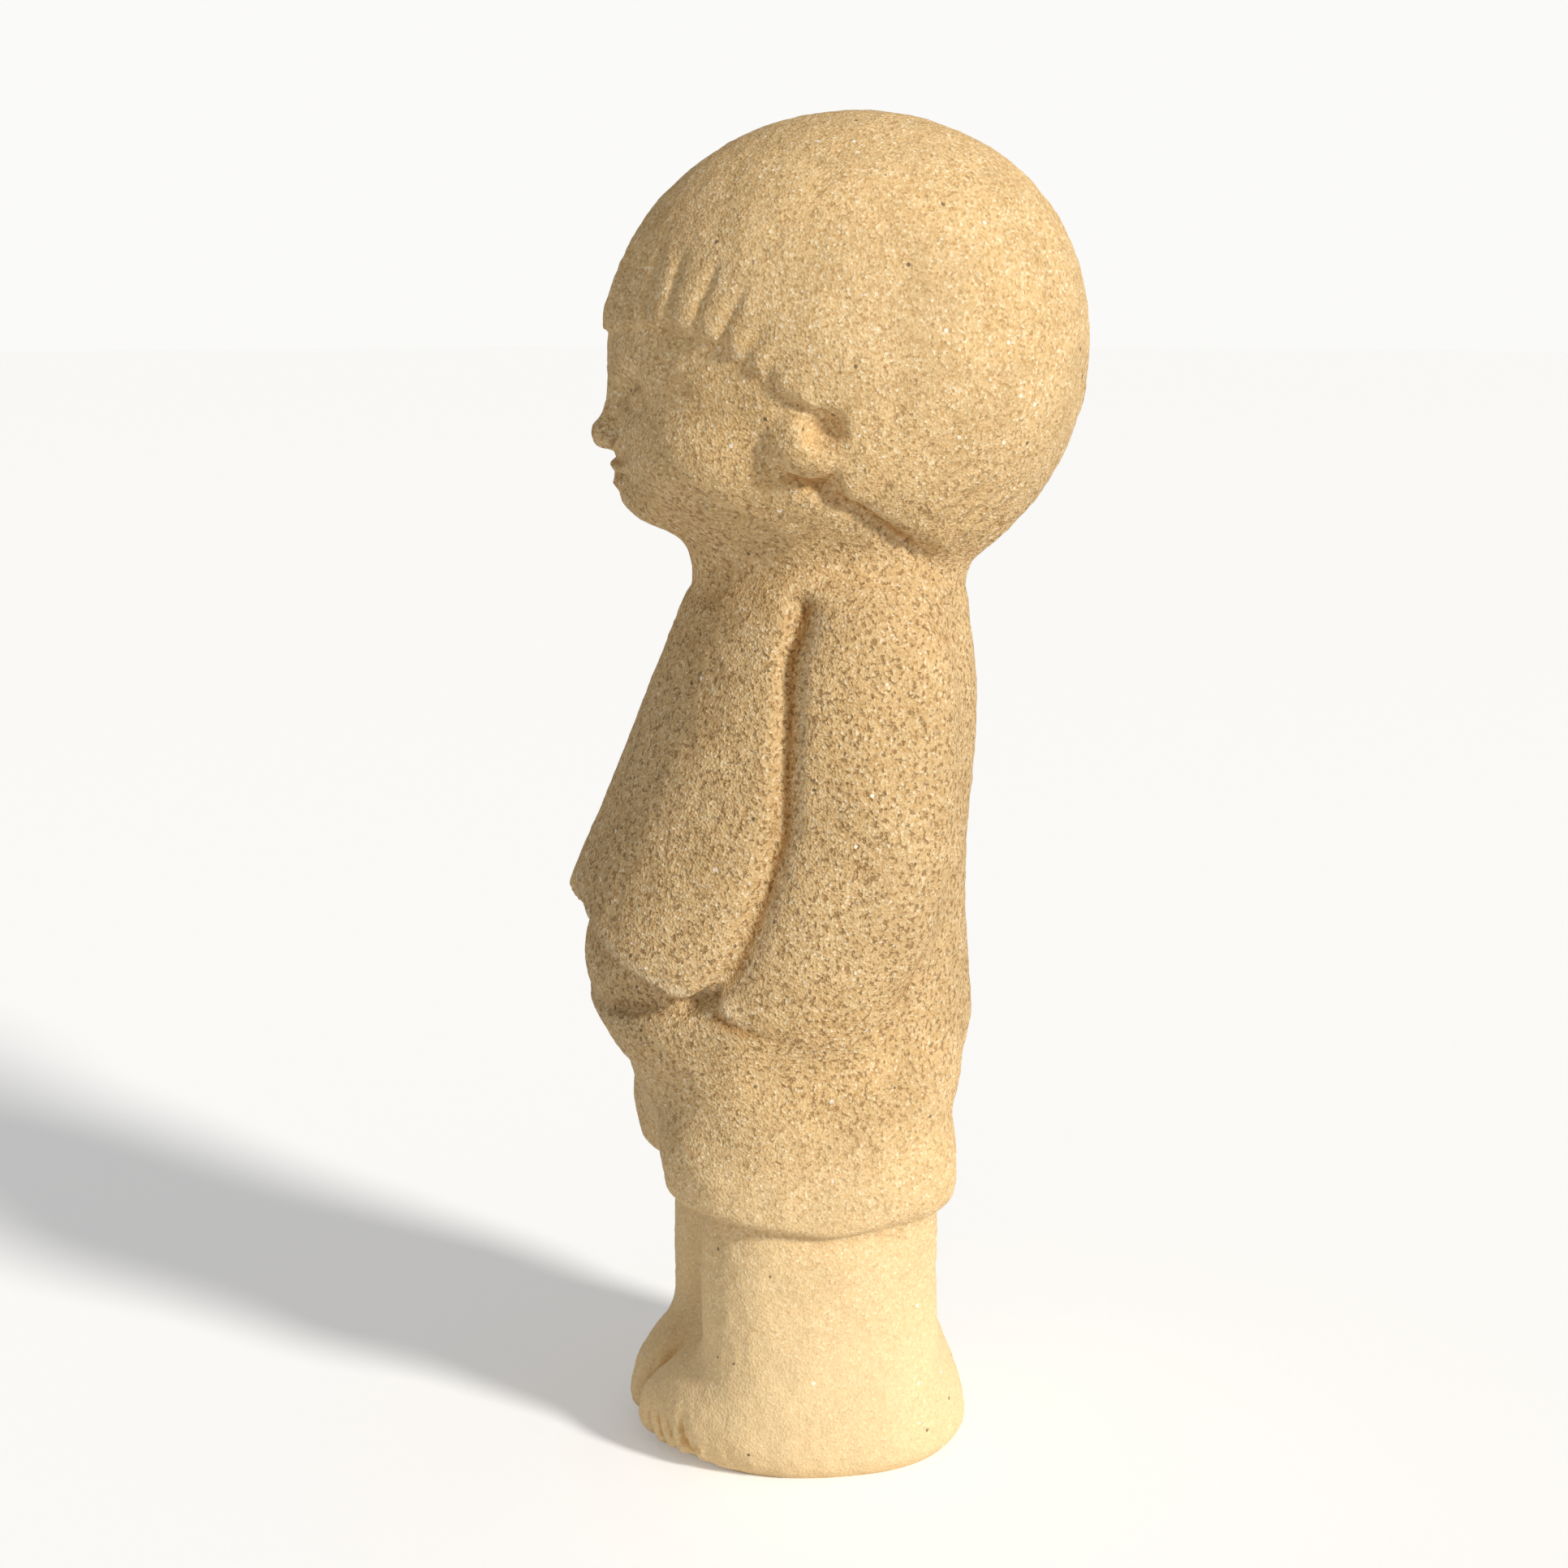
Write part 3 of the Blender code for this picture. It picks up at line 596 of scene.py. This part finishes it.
def carve(thing):
    """Move the blank's points in, level by level, until they meet the figure's surface."""
    replace_mesh(thing, evaluated_copy(thing))
    points = read_points(thing.data)
    heart = np.zeros((len(points), 3))
    heart[:, 1] = HEART[0]
    heart[:, 2] = np.clip(points[:, 2], HEART[1], HEART[2])
    ray = points - heart
    length = np.linalg.norm(ray, axis=1)
    reach = np.ones(len(points))
    for _ in range(CARVE_STEPS):
        gap = figure(heart + ray * reach[:, None])
        reach = np.clip(reach - CARVE_STRIDE * gap / length, 0, 1)
    set_points(thing.data, heart + ray * reach[:, None])


def even_out(thing):
    """Even the facets, then ease and settle them on the surface by turns."""
    grid = thing.modifiers.new("grid", "REMESH")
    grid.mode = "VOXEL"
    grid.voxel_size = REMESH_GRAIN * SHARE
    replace_mesh(thing, evaluated_copy(thing))
    for longest in (2.0, 1.2, 0.8):
        ease = thing.modifiers.new("ease", "SMOOTH")
        ease.factor = 0.5
        ease.iterations = 4
        replace_mesh(thing, evaluated_copy(thing))
        set_points(thing.data, settle(read_points(thing.data), 2, longest))
    finish = thing.modifiers.new("finish", "SMOOTH")
    finish.factor = 0.4
    finish.iterations = 2
    replace_mesh(thing, evaluated_copy(thing))


def stand_flat(thing):
    """Cut the feet off level with the ground and close the cut."""
    shape = bmesh.new()
    shape.from_mesh(thing.data)
    everything = shape.verts[:] + shape.edges[:] + shape.faces[:]
    cut = bmesh.ops.bisect_plane(
        shape, geom=everything, dist=1e-6, plane_co=(0, 0, 0), plane_no=(0, 0, -1), clear_outer=True
    )
    rim = [item for item in cut["geom_cut"] if isinstance(item, bmesh.types.BMEdge)]
    bmesh.ops.contextual_create(shape, geom=rim)
    shape.to_mesh(thing.data)
    shape.free()


def relief(p):
    """Height of the worn surface over the carved one: waves in all directions, with fixed seeds."""
    chance = np.random.default_rng(RELIEF_SEED)
    height = np.zeros(len(p))
    for length, size in RELIEF:
        ways = chance.normal(size=(RELIEF_WAVES, 3))
        ways = ways / np.linalg.norm(ways, axis=1)[:, None]
        rates = 2 * np.pi / length * chance.uniform(0.75, 1.35, RELIEF_WAVES)
        starts = chance.uniform(0, 2 * np.pi, RELIEF_WAVES)
        for way, rate, start in zip(ways, rates, starts):
            height += size * np.sqrt(2 / RELIEF_WAVES) * np.sin(p @ way * rate + start)
    return height


def wear_and_painted_shade_marks(thing):
    """Roughen the figure a little, and mark how hollow each place is; the stone's colours use it for painted
    shade in hollows and paler convex edges.
    """
    points = read_points(thing.data)
    normals = np.empty(len(points) * 3)
    thing.data.vertex_normals.foreach_get("vector", normals)
    normals = normals.reshape(-1, 3)
    # How concave each place is, for the painted shade in hollows and the paler convex edges
    reach = HOLLOW_REACH * normals
    hollow = np.clip((figure(points - reach) + figure(points + reach)) / -2.0, -1, 1)
    lift = relief(points) * step(points[:, 2], 1.0, 2.0)
    set_points(thing.data, points + normals * lift[:, None])
    marks = thing.data.attributes.new("hollow", "FLOAT", "POINT")
    marks.data.foreach_set("value", (0.5 + 0.5 * hollow).astype(np.float32))


def node(tree, kind, place, **settings):
    """Add a node to a material, and set its properties and plain inputs."""
    made = tree.nodes.new(kind)
    made.location = (220 * place[0], -260 * place[1])
    for name, value in settings.items():
        if name in made.inputs:
            made.inputs[name].default_value = value
        else:
            setattr(made, name, value)
    return made


def ramp(tree, place, value, stops):
    """Turn a value into colours through stops of (position, colour)."""
    made = node(tree, "ShaderNodeValToRGB", place)
    band = made.color_ramp
    while len(band.elements) < len(stops):
        band.elements.new(0.5)
    for element, (position, colour) in zip(band.elements, stops):
        element.position = position
        element.color = (*colour, 1.0)
    tree.links.new(value, made.inputs["Fac"])
    return made.outputs["Color"]


def mixed(tree, place, kind, factor, first, second):
    """Mix two colours; a factor or colour may be a plain value or a socket."""
    made = node(tree, "ShaderNodeMix", place, data_type="RGBA", blend_type=kind)
    for name, given in (("Factor_Float", factor), ("A_Color", first), ("B_Color", second)):
        socket = next(item for item in made.inputs if item.identifier == name)
        if isinstance(given, bpy.types.NodeSocket):
            tree.links.new(given, socket)
        elif isinstance(given, tuple):
            socket.default_value = (*given, 1.0)
        else:
            socket.default_value = given
    return next(item for item in made.outputs if item.identifier == "Result_Color")


def measured(tree, place, operation, first, second):
    """Combine two numbers, of which the first is a socket."""
    made = node(tree, "ShaderNodeMath", place, operation=operation)
    tree.links.new(first, made.inputs[0])
    if isinstance(second, bpy.types.NodeSocket):
        tree.links.new(second, made.inputs[1])
    else:
        made.inputs[1].default_value = second
    return made.outputs[0]


def sandstone():
    """Warm beige sandstone: quartz grains of several tints, open pits, dark specks and pale flecks, with
    painted shade in its hollows.
    """
    material = bpy.data.materials.new("sandstone")
    material.use_nodes = True
    tree = material.node_tree
    shader = tree.nodes["Principled BSDF"]
    places = node(tree, "ShaderNodeTexCoord", (-9, 0)).outputs["Object"]

    def noise(place, scale, detail, roughness=0.5):
        made = node(tree, "ShaderNodeTexNoise", place, Scale=scale, Detail=detail, Roughness=roughness)
        tree.links.new(places, made.inputs["Vector"])
        return made.outputs["Fac"]

    def cells(place, scale, output):
        made = node(tree, "ShaderNodeTexVoronoi", place, Scale=scale)
        tree.links.new(places, made.inputs["Vector"])
        return made.outputs[output]

    # Grains: one tint for each grain of about 0.8 mm
    grain = cells((-7, 0), GRAINS, "Color")
    split = node(tree, "ShaderNodeSeparateColor", (-6, 0))
    tree.links.new(grain, split.inputs["Color"])
    colour = ramp(tree, (-5, 0), split.outputs["Red"], (
        (0.0, (0.56, 0.35, 0.155)), (0.14, (0.67, 0.45, 0.21)), (0.45, (0.745, 0.525, 0.265)),
        (0.78, (0.79, 0.575, 0.305)), (0.93, (0.86, 0.665, 0.39)), (1.0, (0.93, 0.79, 0.56)),
    ))

    # Slow changes of tint over the figure
    drift = ramp(tree, (-5, 1), noise((-7, 1), 9.0, 3.0), (
        (0.32, (0.91, 0.93, 0.97)), (0.5, (1.0, 1.0, 1.0)), (0.68, (1.05, 1.0, 0.90)),
    ))
    colour = mixed(tree, (-4, 0), "MULTIPLY", 0.8, colour, drift)
    mottle = ramp(tree, (-5, 2), noise((-7, 2), 75.0, 4.0, 0.6), (
        (0.35, (0.86, 0.84, 0.80)), (0.55, (1.0, 1.0, 1.0)), (0.7, (1.06, 1.06, 1.06)),
    ))
    colour = mixed(tree, (-3, 0), "MULTIPLY", 0.7, colour, mottle)

    # Over the jacket and arms the colour is darker and the pits and grain relief are stronger than over the
    # hair, shorts and legs
    heights = node(tree, "ShaderNodeSeparateXYZ", (-7, 11))
    tree.links.new(places, heights.inputs["Vector"])
    level = measured(tree, (-6, 11), "ADD", heights.outputs["Z"],
                     measured(tree, (-6, 12), "MULTIPLY", noise((-7, 12), 22.0, 2.0), 0.06))
    coarse_stone = ramp(tree, (-5, 11), level, (
        (0.09, (0.15, 0.15, 0.15)), (0.17, (1, 1, 1)), (0.29, (1, 1, 1)), (0.37, (0.45, 0.45, 0.45)),
    ))
    colour = mixed(tree, (-3, 1), "MULTIPLY", coarse_stone, colour, (0.88, 0.855, 0.83))
    # Towards the feet the colour turns paler and warmer
    paler_towards_feet = ramp(tree, (-5, 13), level, ((0.06, (0.62, 0.62, 0.62)), (0.16, (0, 0, 0))))
    colour = mixed(tree, (-2, 1), "MIX", paler_towards_feet, colour, (0.90, 0.685, 0.39))

    # Open pits between the grains
    open_pits = noise((-7, 3), 640.0, 2.5, 0.6)
    pits = ramp(tree, (-5, 3), open_pits, ((0.355, (1, 1, 1)), (0.45, (0, 0, 0))))
    pits = measured(tree, (-4, 3), "MULTIPLY", pits, coarse_stone)
    colour = mixed(tree, (-2, 0), "MIX", measured(tree, (-3, 3), "MULTIPLY", pits, 0.8), colour,
                   (0.30, 0.165, 0.06))

    # A few dark specks and pale flecks
    speck_split = node(tree, "ShaderNodeSeparateColor", (-6, 4))
    tree.links.new(cells((-7, 4), SPECKS, "Color"), speck_split.inputs["Color"])
    near = measured(tree, (-5, 4), "LESS_THAN", cells((-7, 5), SPECKS, "Distance"), SPECK_SIZE)
    dark = measured(tree, (-4, 4), "MULTIPLY", near,
                    measured(tree, (-5, 5), "LESS_THAN", speck_split.outputs["Red"], SPECK_SHARE))
    pale = measured(tree, (-4, 6), "MULTIPLY", near,
                    measured(tree, (-5, 6), "LESS_THAN", speck_split.outputs["Green"], SPECK_SHARE))
    colour = mixed(tree, (-1, 0), "MIX", measured(tree, (-3, 4), "MULTIPLY", dark, 0.7), colour,
                   (0.06, 0.045, 0.035))
    colour = mixed(tree, (0, 0), "MIX", measured(tree, (-3, 6), "MULTIPLY", pale, 0.8), colour,
                   (0.93, 0.88, 0.78))

    # Painted shade: hollows are painted darker and orange-brown, and convex edges are made a little paler
    hollow = node(tree, "ShaderNodeAttribute", (-5, 7), attribute_name="hollow").outputs["Fac"]
    painted_hollow_shade = ramp(tree, (-4, 7), hollow, ((0.62, (0, 0, 0)), (1.0, (1, 1, 1))))
    colour = mixed(tree, (1, 0), "MULTIPLY", painted_hollow_shade, colour, (0.76, 0.61, 0.44))
    paler_convex_edges = ramp(tree, (-4, 8), hollow, ((0.1, (1, 1, 1)), (0.36, (0, 0, 0))))
    colour = mixed(tree, (2, 0), "SCREEN", measured(tree, (-3, 8), "MULTIPLY", paler_convex_edges, 0.10), colour,
                   (0.9, 0.8, 0.6))
    tree.links.new(colour, shader.inputs["Base Color"])

    # Relief of the grains and pits
    height = measured(tree, (-2, 2), "SUBTRACT", cells((-7, 9), GRAINS, "Distance"),
                      measured(tree, (-3, 2), "MULTIPLY", pits, 0.9))
    coarse = measured(tree, (-1, 2), "ADD", height,
                      measured(tree, (-2, 3), "MULTIPLY", noise((-7, 10), 260.0, 3.0, 0.6), 1.3))
    bump = node(tree, "ShaderNodeBump", (1, 2), Distance=0.00045)
    rough = measured(tree, (0, 3), "ADD", measured(tree, (-1, 3), "MULTIPLY", coarse_stone, 0.5), 0.3)
    tree.links.new(rough, bump.inputs["Strength"])
    tree.links.new(coarse, bump.inputs["Height"])
    tree.links.new(bump.outputs["Normal"], shader.inputs["Normal"])

    shader.inputs["Roughness"].default_value = 0.93
    shader.inputs["Specular IOR Level"].default_value = 0.25
    return material


def floor():
    """A wide pale floor."""
    mesh = bpy.data.meshes.new("floor")
    shape = bmesh.new()
    bmesh.ops.create_circle(shape, cap_ends=True, segments=96, radius=FLOOR_RADIUS)
    shape.to_mesh(mesh)
    shape.free()
    thing = bpy.data.objects.new("floor", mesh)
    bpy.context.scene.collection.objects.link(thing)
    material = bpy.data.materials.new("pale_floor")
    material.use_nodes = True
    tree = material.node_tree
    shader = tree.nodes["Principled BSDF"]
    shader.inputs["Base Color"].default_value = FLOOR_COLOUR
    shader.inputs["Roughness"].default_value = 0.9
    shader.inputs["Emission Color"].default_value = (0.97, 0.985, 1.0, 1.0)
    seen = node(tree, "ShaderNodeLightPath", (-3, 0)).outputs["Is Camera Ray"]
    tree.links.new(measured(tree, (-2, 0), "MULTIPLY", seen, FLOOR_GLOW), shader.inputs["Emission Strength"])
    mesh.materials.append(material)


def aim(thing, target):
    """Turn a camera or a light towards a point."""
    way = Vector(target) - thing.location
    thing.rotation_euler = way.to_track_quat("-Z", "Y").to_euler()


def studio():
    """Soft light from behind the figure's left shoulder, with a pale surround."""
    lamp = bpy.data.lights.new("key", "SUN")
    lamp.energy = KEY_LIGHT
    lamp.angle = KEY_SOFTNESS
    lamp.color = KEY_COLOUR
    key = bpy.data.objects.new("key", lamp)
    bpy.context.scene.collection.objects.link(key)
    key.location = KEY_PLACE
    aim(key, (0, 0, 0))
    world = bpy.data.worlds.new("surround")
    world.use_nodes = True
    tree = world.node_tree
    surround = tree.nodes["Background"]
    surround.inputs["Color"].default_value = (1.0, 1.0, 1.0, 1.0)
    surround.inputs["Strength"].default_value = SURROUND_LIGHT
    backdrop = node(tree, "ShaderNodeBackground", (0, 1), Strength=BACKDROP_LIGHT)
    backdrop.inputs["Color"].default_value = BACKDROP_COLOUR
    seen = node(tree, "ShaderNodeLightPath", (0, 2))
    both = node(tree, "ShaderNodeMixShader", (1, 1))
    tree.links.new(seen.outputs["Is Camera Ray"], both.inputs[0])
    tree.links.new(surround.outputs[0], both.inputs[1])
    tree.links.new(backdrop.outputs[0], both.inputs[2])
    tree.links.new(both.outputs[0], tree.nodes["World Output"].inputs["Surface"])
    bpy.context.scene.world = world
    bpy.context.scene.view_settings.view_transform = "Standard"


def camera():
    """The photograph's viewpoint: the figure's left side, a little from the front and above."""
    lens = bpy.data.cameras.new("camera")
    lens.lens = CAMERA_LENS
    lens.sensor_width = 36.0
    thing = bpy.data.objects.new("camera", lens)
    bpy.context.scene.collection.objects.link(thing)
    thing.location = CAMERA_PLACE
    aim(thing, CAMERA_TARGET)
    bpy.context.scene.camera = thing


def build():
    """Carve and finish the figure, then set the stage."""
    statue = turned_blank(bpy.context.scene.collection)
    carve(statue)
    even_out(statue)
    stand_flat(statue)
    wear_and_painted_shade_marks(statue)
    statue.data.materials.append(sandstone())
    statue.data.shade_smooth()
    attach(statue, "root")
    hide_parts("boy_statue")
    floor()
    studio()
    camera()


build()
